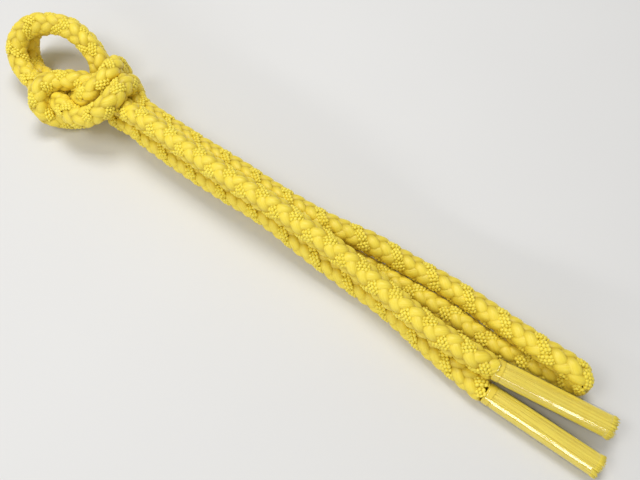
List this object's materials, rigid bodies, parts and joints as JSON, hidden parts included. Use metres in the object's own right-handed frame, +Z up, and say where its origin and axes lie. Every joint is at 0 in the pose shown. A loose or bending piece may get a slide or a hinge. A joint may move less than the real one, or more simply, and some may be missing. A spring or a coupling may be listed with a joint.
{
  "type": "braided sash cord",
  "caption": "Thick round braided sash cord of silky yarn, folded up and tied in a knot that leaves a loop, with tasselled ends in clear film sleeves.",
  "frame": {"origin": "middle of the bundle, on the flat surface it lies on", "axes": "+X along the bundle towards the tassels, +Y towards its far side, where the folded run lies, +Z up"},
  "size_m": [0.3885, 0.0588, 0.0369],
  "materials": {
    "silk_braid": "soft sheen of silk filament, braided",
    "core_cotton": "matte dyed cotton yarn",
    "silk_thread": "soft sheen, tightly wound",
    "silk_fringe": "soft sheen, straight loose threads",
    "clear_film": "clear glossy plastic film"
  },
  "bodies": {
    "cord": {"cord_top_run": "silk_braid", "cord_knot_upper": "silk_braid", "cord_far_run": "silk_braid", "cord_fold": "silk_braid", "cord_under_run": "silk_braid", "cord_knot_lower": "silk_braid", "cord_near_run": "silk_braid", "core_top_run": "core_cotton", "core_knot_upper": "core_cotton", "core_far_run": "core_cotton", "core_fold": "core_cotton", "core_under_run": "core_cotton", "core_knot_lower": "core_cotton", "core_near_run": "core_cotton", "binding_a": "silk_thread", "binding_b": "silk_thread", "fringe_a": "silk_fringe", "fringe_b": "silk_fringe"},
    "sleeve_a": {"film_sleeve_a": "clear_film"},
    "sleeve_b": {"film_sleeve_b": "clear_film"}
  },
  "joints": [
    {"name": "film_sleeve_a_slide", "type": "slide", "parent": "cord", "child": "sleeve_a", "axis": [0.9826, 0.1724, -0.069], "range_m": [0, 0.058]},
    {"name": "film_sleeve_b_slide", "type": "slide", "parent": "cord", "child": "sleeve_b", "axis": [0.9996, 0.0268, 0], "range_m": [0, 0.058]}
  ]
}
